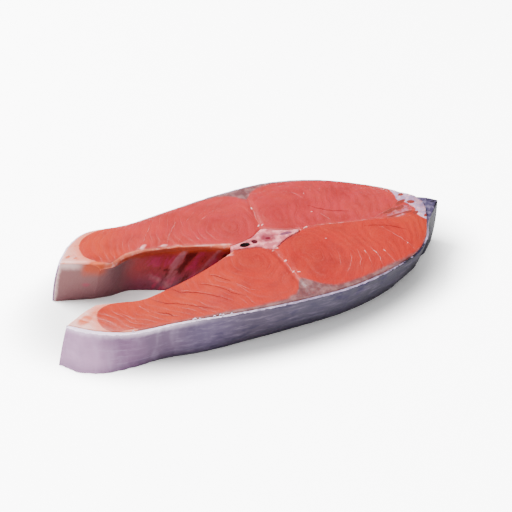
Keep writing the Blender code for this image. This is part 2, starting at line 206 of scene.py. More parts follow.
# How far the lining of the cavity climbs over the rim, by x.
LINING_CLIMB = ((-84, -1), (-78, 0.2), (-70, 0.4), (-62, 0.6), (-50, 0.7), (-30, 0.7), (-22, 0.4))
# Orange smudges in the fat at the end of each flap: x, y, half length, half width and angle.
SMUDGES = (
    (-103.6, -31.2, 5, 3, 25), (-100.6, 20, 1.8, 1.3, 30), (-97.2, 17.4, 1.4, 0.9, 0),
    (-88.5, 9, 6, 2.6, 0),
)
# Depth of the dark muscle under the skin by x, on each side.
DARK_DEPTHS = {
    "far": (
        (-45, 0), (-30, 1.2), (-16, 2), (-9, 3.4), (-4, 6.5), (1, 12), (5, 8), (8, 5.5),
        (13, 3.4), (22, 2.2), (45, 1.2), (60, 0.4),
    ),
    "near": (
        (-60, 0.4), (-40, 1.8), (-15, 2.4), (-5, 3.8), (0, 7), (4, 14.5), (8, 12), (12, 8.2),
        (18, 4.8), (32, 3.2), (50, 3), (66, 1), (74, 0.2),
    ),
}
# Where white fat starts in the ridge: y, then x.
RIDGE_FAT = (
    (-20, 92), (-15, 87), (-10, 83.5), (-5, 82.5), (-1, 84.5), (2, 83), (5, 81), (8, 78),
    (12, 78.5),
)
# Small dark muscles at the foot of the back fin: x, y, half length, half width and angle.
FIN_MUSCLES = (
    (82, 12, 1.8, 1.3, 20), (78.8, 5.6, 3.8, 1.3, 22), (84.2, 4.2, 2.2, 1.5, -20),
    (70.5, 1, 4.6, 1.3, 14), (76.6, 1.6, 3, 1.2, 20), (79, -2.8, 3, 1.5, 0),
    (82.6, -5.2, 2, 1.6, 30), (71, -3.4, 5.4, 1.1, 8), (86.4, -9.6, 1.6, 1, 40),
)
# The area between those muscles, and how much fat runs through it.
FIN_ZONE = (75, -1, 9, 5, 8)
FIN_FAT_SHARE = 0.38

# How orange the flesh is, by x; the share of that on the far side; and where along X the far side
# comes up to all of it, in its flap.
ORANGE_SHARE = (
    (-95, 1), (-75, 1), (-40, 0.75), (-18, 0.3), (20, 0.15), (45, 0.15), (62, 0.25), (85, 0.8),
)
LEAST_ORANGE = 0.35
FAR_ORANGE_FROM = (-60, -84)
# A distance that is out of reach of every mark, in millimetres.
FAR_OFF = 9.0

# Membranes between muscles: a path and its width.
SEPTA = (
    (((18.6, 2.1), (26, 3.3), (32, 2.7), (38, 1.2), (45, 0.1), (54, -1.1), (61, -1.4)), 0.55),
    (((60, -1.4), (66, 0.6), (73, 3.4), (79, 7.6)), 0.35),
    (((62, -1.2), (68, -0.8), (75, 0), (82, 1.4), (87, 1)), 0.35),
    (((60, -1.6), (67, -4.6), (74, -6), (80, -7.2)), 0.3),
    (((0.1, 9.4), (0.4, 13), (0.8, 19), (1.4, 26), (2.1, 34)), 0.35),
    (((0.9, -8.7), (1, -13), (1.8, -20), (2.9, -30), (4.8, -36)), 0.35),
)
# Edges of flakes that stand out as pale lines, first in the belly muscles and then in the back.
FLAKE_LINES = (
    ((-88, -31), (-83, -36), (-80, -41)), ((-77.5, -29), (-74, -34), (-72, -38)),
    ((-62, 17), (-58, 24), (-53, 33)), ((-50, 13), (-45, 25)),
    ((-47, 20), (-40, 30)), ((-35, 28), (-27, 37)), ((-28, 26), (-16, 35)),
    ((-55, -24.6), (-48, -28.2), (-40, -33.4)),
    ((-45, -22.2), (-40, -25.2), (-35, -28.8), (-30, -34.8)), ((-38, -17.2), (-31.6, -22.6)),
    ((-28, -28), (-22, -36), (-17, -39)),
    ((30, -22), (29.5, -27), (26.5, -34.5)), ((36, -25), (34, -31), (31.5, -36), (28, -40)),
    ((40, -24), (39.5, -30), (38, -34), (35.5, -39)),
    ((43.5, -23), (43.5, -32), (41.5, -41)), ((47, -24), (48.3, -33), (47, -42)),
    ((53, -28), (53.8, -34), (54.5, -40)),
    ((60, -10), (63, -17), (66, -24), (68, -31), (68.5, -35)),
    ((27, 36), (31, 26)), ((38, 36), (37, 32)), ((43, 34), (41, 30)),
    ((34, 12), (38, 4)),
)
# Painted shadows along the gaps between flakes, laid as dark beads.
FLAKE_GAP_SHADOWS = (
    ((-70, -26.2), (-66.3, -30.6), (-58.3, -34.4), (-51, -38.5), (-41.5, -45)),
    ((-58.6, -21.9), (-55.2, -25.9), (-48.1, -29.3), (-40.6, -34.6), (-31.9, -41.8)),
    ((-45, -23.3), (-40.2, -26.4), (-35.5, -30), (-30.5, -36), (-25, -40.6)),
    ((-70, -37.5), (-65.5, -39.3), (-62, -42.5)), ((-37.6, -18.4), (-32.2, -23.7), (-28.9, -27.7)),
    ((52, -6), (62, -10), (72, -18)), ((30, 20), (40, 12), (50, 8)),
)
# The width and the height above the cut of such edges and of the painted gap shadows, and the height of
# membranes.
FLAKE_EDGE_SIZE = (0.24, 0.06)
FLAKE_GAP_SHADOW_SIZE = (0.5, 0.05)
SEPTUM_HEIGHT = 0.12
# Wet white bits of membrane on the cut, pale enough to be painted glints as well: x, y, length, width
# and angle; and their height for each millimetre of width.
WHITE_BITS_AND_GLINTS = (
    (-0.2, 12.6, 2, 0.8, 70), (1.9, 12.4, 1.5, 0.6, 20), (1.4, 28, 2, 0.7, 80),
    (-0.5, -10.2, 1.8, 0.8, 20), (2.2, -8.8, 1.6, 0.7, -30), (2.3, -20.8, 1.8, 1.2, 10),
    (2.9, -30.2, 1.8, 0.7, 40), (5.3, -31.6, 1.8, 0.7, -20), (43.4, -27.6, 3, 0.4, -90),
    (48, -29.4, 3, 0.4, -84), (53.2, -30, 2.6, 0.35, -84), (28.8, -10, 1.2, 0.5, -20),
    (33, 31, 1.2, 0.45, 60), (30.5, 14, 1.2, 0.5, 20), (67, -28, 1, 0.4, 60),
    (22.6, 2.8, 3, 1.2, 10), (-97.1, 18.5, 1.6, 0.7, 20), (-100.4, 21.4, 1.4, 0.6, 60),
)
BIT_HEIGHT = 0.34
# Ribs and membranes under the lining of the cavity: a path of x and z, and its half width.
WALL_RIBS = (
    (((-39.5, 25), (-45, 18.5), (-49, 12.4), (-51.5, 8.5)), 2.6),
    (((-25, 22), (-30, 16), (-36, 8), (-40, 1)), 2.2),
    (((-52, 3), (-56, 7), (-60, 9.4)), 2.2),
    (((-22, 16), (-26, 10)), 1.8),
)
# How far they stand out, and how many steps each path is taken in.
RIB_HEIGHT = 0.5
RIB_STEPS = 24
# Stains on the lining, and painted shadow beside its ribs: x, z, half length, half width, angle and
# strength, which is above 0 for magenta stains and below 0 for dark, partly dark stain and partly
# painted shadow beside a rib.
WALL_STAINS_AND_SHADE = (
    (-56, 18, 9, 3.6, 8, 0.9), (-39, 14, 7, 2.4, 50, 0.9), (-57, 8, 7, 3, -12, 0.5),
    (-29, 15, 6, 2.2, 52, 0.8), (-42, 16.5, 9.5, 2.2, 53, -1.5), (-51.5, 12.8, 8, 0.9, -6, -0.8),
    (-37.5, 21.5, 4.5, 2, 55, -1.1), (-46, 5, 5, 1.8, 45, -0.7), (-92, 11, 2.6, 1.8, 0, 0.6),
)
# Shreds of torn skin on the near edge: x, length and how far each hangs out.
SKIN_SHREDS = (
    (-55, 1.2, 0.4), (-53.4, 1.8, 0.8), (-51, 1.2, 0.3), (-43.8, 1.6, 0.5), (-41.4, 2, 0.8),
    (-39.6, 1.1, 0.4), (-36, 1.4, 0.3), (-84, 1.6, 0.4),
)
SHRED_WIDTH = 0.4
# Beads of membrane: sides round them, least half width, step along them, how far they waver, the
# share of the length over which each end thins out, and how blunt that end is.
STRAND_SIDES = 8
STRAND_LEAST = 0.02
STRAND_STEP = 0.6
STRAND_WAVER = 0.5
STRAND_TAPER = 0.25
STRAND_BLUNTNESS = 0.6
UP = np.array([0.0, 0.0, 1.0])

# The camera: where it stands and what it looks at, in millimetres, and how wide it sees.
CAMERA_AT = (-167, -447.3, 387.2)
CAMERA_AIM = (-4.9, 3.3, 13)
CAMERA_ANGLE = 25.0


def smooth(keys, values, at):
    """Values at the given keys on the smooth curve through the known keys and values."""
    keys = np.asarray(keys, float)
    values = np.asarray(values, float)
    slopes = np.gradient(values, keys, axis=0)
    at = np.clip(np.asarray(at, float), keys[0], keys[-1])
    k = np.clip(np.searchsorted(keys, at) - 1, 0, len(keys) - 2)
    span = keys[k + 1] - keys[k]
    t = (at - keys[k]) / span
    if values.ndim > 1:
        span, t = span[..., None], t[..., None]
    ends = values[k] * (1 + 2 * t) * (1 - t) ** 2 + values[k + 1] * t * t * (3 - 2 * t)
    return ends + span * t * (1 - t) * (slopes[k] * (1 - t) - slopes[k + 1] * t)


def read_off(table, at):
    """The smooth value of a table of (key, value) rows."""
    keys, values = np.asarray(table, float).T
    return smooth(keys, values, at)


def length_along(path):
    """The distance from the start of a path to each of its points."""
    steps = np.linalg.norm(np.diff(path, axis=0), axis=1)
    return np.concatenate([[0.0], np.cumsum(steps)])


def curve_through(points):
    """A fine smooth path through a few points."""
    points = np.asarray(points, float)
    run = length_along(points)
    return smooth(run, points, np.linspace(0, run[-1], CURVE_POINTS))


def places_on(path, distances):
    """Points of a path at distances from its start."""
    run = length_along(path)
    return np.stack([np.interp(distances, run, path[:, k]) for k in range(2)], axis=1)


def evenly(path, cells):
    """Evenly spaced points of a path."""
    return places_on(path, np.linspace(0, length_along(path)[-1], cells + 1))


def unit(vectors):
    """The vectors, each at length one."""
    return vectors / np.linalg.norm(vectors, axis=1)[:, None]


def left_normals(path, closed=False):
    """Unit normals to the left of a path."""
    if closed:
        along = unit(np.roll(path, -1, axis=0) - np.roll(path, 1, axis=0))
    else:
        along = unit(np.gradient(path, axis=0))
    return np.stack([-along[:, 1], along[:, 0]], axis=1)


def shares_across():
    """Shares of the way from the inside to the skin, closer together near both ends."""
    t = np.linspace(0, 1, ACROSS_CELLS + 1)
    return 0.5 * t + 0.5 * (0.5 - 0.5 * np.cos(math.pi * t))


def skin_stations(points):
    """Points of one side's skin line: level with the inside's stations, then round the ridge."""
    path = curve_through(points)
    run = length_along(path)
    keys = [np.interp(x, path[:, 0], run) for x in (*BESIDE_BACKBONE_X, SHOULDER_X)]
    cells = np.cumsum([0, CAVITY_CELLS, BONE_CELLS, BONE_CELLS, SEAM_CELLS])
    along = np.interp(np.arange(cells[-1] + 1), cells, [0.0, *keys])
    ridge = np.linspace(keys[-1], run[-1], ACROSS_CELLS + 1)
    return places_on(path, np.concatenate([along, ridge[1:]]))


def skin_lines():
    """The outer line of the skin from the near slit round the ridge to the far slit, its inner
    line and the line of the flesh behind it: rows of x, y and lean, with the same stations."""
    near = skin_stations(SKIN["near"])
    far = skin_stations(SKIN["far"])
    tip = (near[-1:] + far[-1:]) / 2
    outer = np.concatenate([near[:-1], tip, far[:-1][::-1]])
    inner = outer + left_normals(outer) * SKIN_THICKNESS
    first, last = SIDE_CELLS, SIDE_CELLS + 2 * ACROSS_CELLS
    ridge_end = curve_through((inner[first], *RIDGE_END, inner[last]))
    inner[first:last + 1] = evenly(ridge_end, 2 * ACROSS_CELLS)
    flesh = inner - left_normals(inner) * OVERLAP
    on_far_side = np.arange(len(outer)) >= len(near)
    lines = []
    for line, x in ((outer, outer[:, 0]), (inner, inner[:, 0]), (flesh, inner[:, 0])):
        across = np.where(on_far_side, *(read_off(SKIN_LEAN[side], x) for side in ("far", "near")))
        lines.append(np.column_stack([line, read_off(LEAN_ALONG, x), across]))
    return lines


def backbone_sides():
    """The far and near sides of the backbone, as points at the same stations along X."""
    x, far, near = np.asarray(BACKBONE, float).T
    fine = np.linspace(x[0], x[-1], BONE_POINTS)
    run = length_along(np.stack([fine, smooth(x, far, fine)], axis=1))
    widest = np.interp(0.0, fine, run)
    stations = np.concatenate(
        [
            np.linspace(0, widest, BONE_CELLS + 1),
            np.linspace(widest, run[-1], BONE_CELLS)[1:],
        ]
    )
    at = np.interp(stations, run, fine)
    return np.stack([at, smooth(x, far, at)], axis=1), np.stack([at, smooth(x, near, at)], axis=1)


def inside_line(side, ridge_end):
    """The inside of one side: the cavity wall, the notch round the backbone, then the seam."""
    cavity = evenly(curve_through(CAVITY[side]), CAVITY_CELLS)
    far_bone, near_bone = backbone_sides()
    bone, inwards = (far_bone, -1) if side == "far" else (near_bone, 1)
    notch = bone + left_normals(bone) * OVERLAP * inwards
    seam = evenly(curve_through((*SEAM, ridge_end[:2])), SEAM_CELLS)
    line = np.concatenate([cavity, notch[1:], seam])
    lean = np.stack([read_off(table, line[:, 0]) for table in (LEAN_ALONG, CAVITY_LEAN[side])], axis=1)
    return np.concatenate([np.concatenate([line, lean], axis=1)[:-1], ridge_end[None]])


def span_grid(inside, outside, start, end):
    """A grid of points that fills the area between four edges (a bilinearly blended patch).

    Near the end edge, which goes on in line with the outside, the points are evened out.
    """
    u = length_along(outside[:, :2])[:, None, None]
    u = u / u[-1]
    v = (shares_across() * (1 - u[..., 0]) + np.linspace(0, 1, ACROSS_CELLS + 1) * u[..., 0])[..., None]
    corners = (
        (1 - u) * (1 - v) * inside[0] + (1 - u) * v * outside[0]
        + u * (1 - v) * inside[-1] + u * v * outside[-1]
    )
    grid = (
        (1 - v) * inside[:, None] + v * outside[:, None]
        + (1 - u) * start[None] + u * end[None] - corners
    )
    for _ in range(EVENING_PASSES):
        around = grid[:-2, 1:-1] + grid[2:, 1:-1] + grid[1:-1, :-2] + grid[1:-1, 2:]
        grid[1:-1, 1:-1] += (around / 4 - grid[1:-1, 1:-1]) * u[1:-1] ** EVENING_REACH
    return grid


def side_grid(side):
    """One side of the fish, from the inside to the skin: a grid of x, y and lean."""
    line = skin_lines()[2]
    tip = len(line) // 2
    outside = line[:tip + 1] if side == "near" else line[tip:][::-1]
    inside = inside_line(side, outside[-1])
    share = shares_across()[:, None]
    slit = inside[0] * (1 - share) + outside[0] * share
    return span_grid(inside, outside[:SIDE_CELLS + 1], slit, outside[SIDE_CELLS:][::-1])


def back_of_septum(x, y):
    """How far points lie behind the septum that parts the back muscle from the belly muscle."""
    return x - SEPTUM_FOOT[0] - SEPTUM_SLOPE * (np.abs(y) - SEPTUM_FOOT[1])


def clouds(x, y, size):
    """Soft noise over the cut, from -1 to 1, with clouds of the given size in millimetres."""
    values = [noise.noise(Vector((px / size, py / size, size))) for px, py in zip(x.flat, y.flat)]
    return np.array(values).reshape(x.shape)


def flake_phase(x, y, side):
    """A field that grows by one from flake to flake, in rings that stretch into slanted lines."""
    back = back_of_septum(x, y) > 0
    middle = np.where(back[..., None], BACK_RINGS[side], BELLY_RINGS[side])
    dx, dy = x - middle[..., 0], y - middle[..., 1]
    squash = np.where(back, BACK_RING_SQUASH, read_off(BELLY_RING_SQUASH, np.abs(dx)))
    rings = np.hypot(dx, dy * squash) / FLAKE_PITCH
    for size, shift in FLAKE_WARPS:
        rings = rings + shift * clouds(x, y, size)
    return rings


def edge_drop(distance, radius):
    """How far a rounded edge lies below the flat, at a distance in from it."""
    inset = np.clip(radius - distance, 0, radius)
    return radius - np.sqrt(radius * radius - inset * inset)


def step_up(low, high, value):
    """A smooth step from 0 below low to 1 above high."""
    t = np.clip((value - low) / (high - low), 0, 1)
    return t * t * (3 - 2 * t)


def edge_distances(grid):
    """How far each point of a side lies from its inside, from its skin and from the slit."""
    plan = grid[..., :2]
    return [np.linalg.norm(plan - edge, axis=-1) for edge in (plan[:, :1], plan[:, -1:], plan[:1])]


def relief(grid, side):
    """Heights of the upper cut: crowned muscles, grooves between them, flakes and round edges."""
    x, y = grid[..., 0], grid[..., 1]
    from_inside, from_skin, from_slit = edge_distances(grid)
    share = from_inside / (from_inside + from_skin)
    inner = np.clip(np.minimum(from_inside, from_skin) / RELIEF_FADE, 0, 1)
    septum = np.exp(-((back_of_septum(x, y) / SEPTUM_WIDTH) ** 2))
    flakes = np.abs(np.cos(math.pi * flake_phase(x, y, side))) ** FLAKE_SHARPNESS
    (ax, ay), (bx, by) = WAVE_LENGTHS
    waves = np.sin(x / ax + y / ay) * np.sin(y / by - x / bx)
    height = THICKNESS - MUSCLE_CROWN * (1 - np.sin(math.pi * share) ** CROWN_FULLNESS)
    height = height + inner * (WAVE_HEIGHT * waves - SEPTUM_DEPTH * septum - FLAKE_DEPTH * flakes)
    for mid_x, mid_y, radius, lump in RIM_FAT:
        height = height + lump * np.exp(-((x - mid_x) ** 2 + (y - mid_y) ** 2) / radius**2)
    stations = np.arange(len(grid))[:, None]
    radius = np.where(stations <= CAVITY_CELLS, CAVITY_EDGE_RADIUS, CUT_EDGE_RADIUS)
    height -= edge_drop(from_inside, radius) * (stations < SEAM_START)
    height -= edge_drop(from_skin, FLESH_EDGE_RADIUS)
    height -= edge_drop(from_slit, CUT_EDGE_RADIUS)
    return height


def in_ellipse(x, y, middle_x, middle_y, half_length, half_width, angle=0.0, power=2.0):
    """A field that is 1 on the edge of an ellipse and less inside it."""
    turn = math.radians(angle)
    along = (x - middle_x) * math.cos(turn) + (y - middle_y) * math.sin(turn)
    across = (y - middle_y) * math.cos(turn) - (x - middle_x) * math.sin(turn)
    total = np.abs(along / half_length) ** power + np.abs(across / half_width) ** power
    return total ** (1 / power)


def spots(x, y, ellipses, full, none):
    """1 inside any of the ellipses, falling to 0 outside: full and none say how far out."""
    fields = [1 - step_up(full, none, in_ellipse(x, y, *ellipse)) for ellipse in ellipses]
    return np.maximum.reduce([np.zeros(x.shape), *fields])


def flesh_marks(grid, side):
    """What shows where on the cut of one side, as named values for each point."""
    x, y = grid[..., 0], grid[..., 1]
    from_inside, from_skin, _ = edge_distances(grid)
    stations = np.arange(len(grid))[:, None] + np.zeros(grid.shape[1])
    on_rim = stations <= CAVITY_CELLS
    lobe = in_ellipse(x, y, *FLAP_LOBES[side], power=LOBE_SQUARENESS)
    flap_fat = step_up(0.96, 1.06, lobe) * (x < FLAP_LOBES[side][0])
    ridge_fat = step_up(-0.8, 0.8, x - read_off(RIDGE_FAT, y))
    fin_fat = FIN_FAT_SHARE * spots(x, y, [FIN_ZONE], 0.75, 1.1)
    seam = np.where(stations >= SEAM_START, from_inside, FAR_OFF)
    septum = np.abs(back_of_septum(x, y)) + FAR_OFF * (np.abs(y) < SEPTUM_FOOT[1])
    orange = 1.0 if side == "near" else step_up(*FAR_ORANGE_FROM, x)
    return {
        "far_side": np.full(x.shape, 1.0 if side == "far" else 0.0),
        "orange": read_off(ORANGE_SHARE, x) * (LEAST_ORANGE + (1 - LEAST_ORANGE) * orange),
        "fat": np.maximum.reduce([flap_fat, ridge_fat, fin_fat]),
        "warm": 1 - step_up(1.0, 1.45, lobe),
        "band": step_up(-0.5, 0.5, read_off(RIM_BANDS[side], x) - from_inside) * on_rim,
        "white": spots(x, y, RIM_WHITES, 0.3, 1.5),
        "smudge": spots(x, y, SMUDGES, 0.4, 1.3),
        "rim": step_up(-0.4, 0.4, read_off(LINING_CLIMB, x) - from_inside) * on_rim,
        "fin": spots(x, y, FIN_MUSCLES, 0.8, 1.1),
        "dark": read_off(DARK_DEPTHS[side], x) - from_skin,
        "phase": flake_phase(x, y, side),
        "seam": np.minimum(seam, septum),
        "past_slit": np.where(stations > 0, length_along(grid[:, 0, :2])[:, None], -from_inside),
    }


def number_grid(shape, start):
    """Running numbers for the points of a grid."""
    return np.arange(shape[0] * shape[1]).reshape(shape[:2]) + start


def grid_faces(numbers, flip):
    """Quads over a grid of point numbers, facing up unless flipped."""
    a, b, c, d = numbers[:-1, :-1], numbers[1:, :-1], numbers[1:, 1:], numbers[:-1, 1:]
    quads = np.stack([a, b, c, d], axis=-1).reshape(-1, 4)
    return quads[:, ::-1] if flip else quads


def ring_faces(upper, lower):
    """Quads between a ring of point numbers and the ring below it, facing out of a ring that
    goes round anticlockwise."""
    return np.stack([upper, lower, np.roll(lower, -1), np.roll(upper, -1)], axis=-1)


def tube_faces(shape):
    """Faces round a row of closed rings, with a face at each end."""
    numbers = number_grid(shape, 0)
    around = np.concatenate([numbers, numbers[:, :1]], axis=1)
    ends = [numbers[0].tolist(), numbers[-1, ::-1].tolist()]
    return grid_faces(around, True).tolist() + ends


def side_at(line, into, bulge, z):
    """Where an outside face is at a height: it leans with depth and bulges at half height."""
    depth = np.clip(1 - z / RIM_HEIGHT, 0, 1)[:, None]
    return line[:, :2] + line[:, 2:] * depth - into * bulge[:, None] * np.sin(math.pi * depth)


def close_body(surface, heights, quads, loop, bulge, floor):
    """Close a body below its upper face: walls down from the loop round it, then a flat lower
    face with the same cells. surface holds x, y and lean. Each point also gets the number of the
    surface point above it, and how far down the wall it lies."""
    edge, tops = surface[loop], heights[loop]
    into = left_normals(edge[:, :2], closed=True)
    everywhere = np.arange(len(surface))
    layers = [(np.column_stack([surface[:, :2], heights]), everywhere, 0.0)]
    faces = [quads]
    above, count = loop, len(surface)
    for share in np.linspace(0, 1, WALL_CELLS + 1)[1:-1]:
        z = tops + (floor - tops) * share
        layers.append((np.column_stack([side_at(edge, into, bulge, z), z]), loop, share))
        below = np.arange(len(loop)) + count
        faces.append(ring_faces(above, below))
        above, count = below, count + len(loop)
    lower = surface[:, :2] + surface[:, 2:]
    layers.append((np.column_stack([lower, np.full(len(lower), floor)]), everywhere, 1.0))
    faces = np.concatenate([*faces, ring_faces(above, loop + count), quads[:, ::-1] + count])
    # Only the points that some face uses are kept.
    used, numbers = np.unique(faces, return_inverse=True)
    points, sources = (np.concatenate([layer[k] for layer in layers])[used] for k in range(2))
    depths = np.concatenate([np.full(len(sources_of), depth) for _, sources_of, depth in layers])[used]
    return points, numbers.reshape(faces.shape), sources, depths


def add_mesh(name, materials, points, faces, marks=None, slot=None):
    """A smooth shaded mesh piece with named values on its points. Points are in millimetres."""
    mesh = bpy.data.meshes.new(name)
    mesh.from_pydata(((np.asarray(points) + MIDDLE) * MM).tolist(), [], [list(face) for face in faces])
    mesh.shade_smooth()
    for mark, values in (marks or {}).items():
        layer = mesh.attributes.new(mark, "FLOAT", "POINT")
        layer.data.foreach_set("value", np.asarray(values, np.float32))
    for material in materials:
        mesh.materials.append(material)
    obj = bpy.data.objects.new(name, mesh)
    bpy.context.scene.collection.objects.link(obj)
    if slot:
        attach(obj, "root")
    return obj


def make_flesh():
    """Both sides of the fish, joined along the seam of the back."""
    sides = {side: side_grid(side) for side in ("far", "near")}
    heights = {side: relief(grid, side) for side, grid in sides.items()}
    marks = {side: flesh_marks(grid, side) for side, grid in sides.items()}
    far = number_grid(sides["far"].shape, 0)
    near = number_grid(sides["near"].shape, far.size)
    near[SEAM_START:, 0] = far[SEAM_START:, 0]
    surface = np.concatenate([grid.reshape(-1, 4) for grid in sides.values()])
    quads = np.concatenate([grid_faces(far, False), grid_faces(near, True)])
    # Round the edge anticlockwise: the near skin, the end of the ridge, the far skin, the far
    # slit, the cavity and the notch, and the near slit.
    skin_side = np.concatenate([near[:, -1], near[-1, -2::-1], far[-1, 1:], far[-2::-1, -1]])
    notch = np.concatenate([far[1:SEAM_START + 1, 0], near[SEAM_START - 1::-1, 0]])
    loop = np.concatenate([skin_side, far[0, -2::-1], notch, near[0, 1:-1]])
    bulge = np.where(np.arange(len(loop)) < len(skin_side), SIDE_BULGE, 0.0)
    all_heights = np.concatenate([height.ravel() for height in heights.values()])
    points, faces, sources, depths = close_body(surface, all_heights, quads, loop, bulge, 0.0)
    values = {}
    for name in marks["far"]:
        values[name] = np.concatenate([marks[side][name].ravel() for side in sides])[sources]
    source_x = surface[sources, 0]
    values["rib"], values["stain_and_shade"] = wall_marks(source_x, points[:, 2])
    of_cavity = (sources % (ACROSS_CELLS + 1) == 0) & (depths > 0) & (depths < 1)
    lift = values["rib"] * RIB_HEIGHT * of_cavity * (source_x < BACKBONE[0][0])
    points[:, 1] -= lift * np.sign(surface[sources, 1])
    of_wall = np.ones(len(faces), int)
    of_wall[:len(quads)] = of_wall[-len(quads):] = 0
    return points, faces, values, of_wall


def wall_marks(x, z):
    """Where the ribs, the stains and the painted rib shadows of the cavity wall show, by place along it
    and height.
    """
    rib = np.zeros(len(x))
    for points, half_width in WALL_RIBS:
        for px, pz in evenly(curve_through(points), RIB_STEPS):
            rib = np.maximum(rib, np.exp(-((x - px) ** 2 + (z - pz) ** 2) / half_width**2))
    stain_and_shade = np.zeros(len(x))
    for *ellipse, sign in WALL_STAINS_AND_SHADE:
        stain_and_shade += sign * (1 - step_up(0.3, 1.4, in_ellipse(x, z, *ellipse)))
    return rib, stain_and_shade


def height_finder(points, faces):
    """A function that gives the height of the upper cut at a plan point."""
    tree = BVHTree.FromPolygons(points.tolist(), faces.tolist())

    def height(x, y):
        hit = tree.ray_cast(Vector((x, y, THICKNESS * 2)), Vector((0, 0, -1)))[0]
        return hit.z if hit else RIM_HEIGHT

    return height


def make_skin():
    """A strip of even thickness round the flesh, thicker at the ridge of the back."""
    outer, inner, _ = skin_lines()
    bulge = np.full(len(outer), SIDE_BULGE)
    into = left_normals(outer[:, :2])
    levels = np.linspace(RIM_HEIGHT, SKIN_FOOT, WALL_CELLS + 1)
    ripples = np.array([skin_ripple(x, y) for x, y in outer[:, :2]])
    rows = []
    thickness = np.linalg.norm(outer[:, :2] - inner[:, :2], axis=1)
    for share in np.linspace(0, 1, SKIN_EDGE_CELLS + 1)[1:-1][::-1]:
        line = outer * (1 - share) + inner * share
        edge = np.minimum(share, 1 - share) * thickness
        round_off = np.sqrt(np.clip(edge / (SKIN_THICKNESS / 2), 0, 1))
        height = RIM_HEIGHT + (SKIN_RISE + ripples * EDGE_RIPPLE) * round_off
        rows.append(np.column_stack([line[:, :2], height]))
    lift = (ripples * skin_ripple_depth(outer[:, 0]))[:, None]
    for z in levels:
        height = np.full(len(outer), z)
        rows.append(np.column_stack([side_at(outer, into, bulge, height) - into * lift, height]))
    into = left_normals(inner[:, :2])
    for z in levels[::-1]:
        height = np.full(len(inner), z)
        rows.append(np.column_stack([side_at(inner, into, bulge, height), height]))
    grid = np.stack(rows, axis=1)
    points = grid.reshape(-1, 3)
    white = points[:, 2] - read_off(WHITE_EDGE, points[:, 0])
    return points, tube_faces(grid.shape), {"white_edge": white}


def skin_ripple(x, y):
    """Small uneven ripples along the skin, above and below zero."""
    return sum(
        share * noise.noise(Vector((x * close, y * close, slice_at)))
        for close, slice_at, share in SKIN_RIPPLES
    )


def skin_ripple_depth(x):
    """How deep the ripples are: soft wrinkles in the flap, next to nothing in the back."""
    return RIPPLE_DEPTH + WRINKLE_DEPTH * (1 - step_up(*WRINKLES_FADE, x))


def make_backbone():
    """The backbone, spanned between its far and near sides, with straight sides."""
    far, near = backbone_sides()
    share = np.linspace(0, 1, BONE_CELLS + 1)[None, :, None]
    plan = near[:, None] * (1 - share) + far[:, None] * share
    x, y = plan[..., 0], plan[..., 1]
    width = np.linalg.norm(far - near, axis=1)[:, None]
    from_edge = width * np.minimum(share, 1 - share)[..., 0]
    heights = BACKBONE_HEIGHT - edge_drop(from_edge, CUT_EDGE_RADIUS)
    marks = {"from_edge": from_edge}
    for mid_x, mid_y, length, breadth, depth, name in BACKBONE_OPENINGS:
        reach = in_ellipse(x, y, mid_x, mid_y, length, breadth)
        heights = heights - depth * OPENING_SHARE * np.exp(-(reach**4))
        marks[name] = reach
    numbers = number_grid(plan.shape, 0)
    loop = np.concatenate([numbers[:, 0], numbers[-1, 1:], numbers[-2::-1, -1], numbers[0, -2:0:-1]])
    surface = np.concatenate([plan, np.zeros(plan.shape)], axis=-1).reshape(-1, 4)
    upright = np.zeros(len(loop))
    body = close_body(surface, heights.ravel(), grid_faces(numbers, False), loop, upright, BACKBONE_FOOT)
    points, faces, sources, _ = body
    return points, faces, {name: values.ravel()[sources] for name, values in marks.items()}


def strand(path, frames, width, height):
    """A soft bead along a path of 3-D points, thinning out at both ends. frames holds the
    direction across it and the direction out of the surface at each point."""
    count = len(path)
    along = np.linspace(0, 1, count)
    swell = np.clip(np.minimum(along, 1 - along) / STRAND_TAPER, 0, 1) ** STRAND_BLUNTNESS
    turns = np.linspace(0, 2 * math.pi, STRAND_SIDES, endpoint=False)
    rings = []
    for k in range(count):
        across, out = frames[k]
        half = max(width * swell[k] / 2, STRAND_LEAST)
        lift = max(height * swell[k], STRAND_LEAST)
        ring = [path[k] + across * half * math.cos(t) + out * lift * math.sin(t) for t in turns]
        rings.append(ring)
    return np.array(rings).reshape(-1, 3), tube_faces((count, STRAND_SIDES))


def join(parts):
    """One list of points and faces from many."""
    points, faces, count = [], [], 0
    for part_points, part_faces in parts:
        points.append(part_points)
        faces += [[k + count for k in face] for face in part_faces]
        count += len(part_points)
    return np.concatenate(points), faces


def strand_on_cut(points, width, height, surface_height):
    """A bead that follows the upper cut along a plan path, wavering a little in place."""
    path = curve_through(points)
    path = evenly(path, max(int(length_along(path)[-1] / STRAND_STEP), 6))
    waver = np.array([noise.noise(Vector((x * 0.35, y * 0.35, 1.5))) for x, y in path])
    path = path + left_normals(path) * waver[:, None] * STRAND_WAVER
    places = np.array([[x, y, surface_height(x, y)] for x, y in path])
    frames = [(np.array([nx, ny, 0.0]), UP) for nx, ny in left_normals(path)]
    return strand(places, frames, width, height)


def white_bit_and_glint(x, y, length, width, angle, surface_height):
    """A small wet lump of membrane lying on the cut, uneven like a torn shred; its pale colour is partly
    a painted glint.
    """
    turn = math.radians(angle)
    along = np.array([math.cos(turn), math.sin(turn)])
    across = np.array([-along[1], along[0]])
    bend = noise.noise(Vector((x, y, 3.0))) * width
    path = []
    for t in (-0.5, -0.2, 0.15, 0.5):
        path.append(np.array([x, y]) + along * length * t + across * bend * (4 * t * t - 0.5))
    return strand_on_cut(path, width, width * BIT_HEIGHT, surface_height)


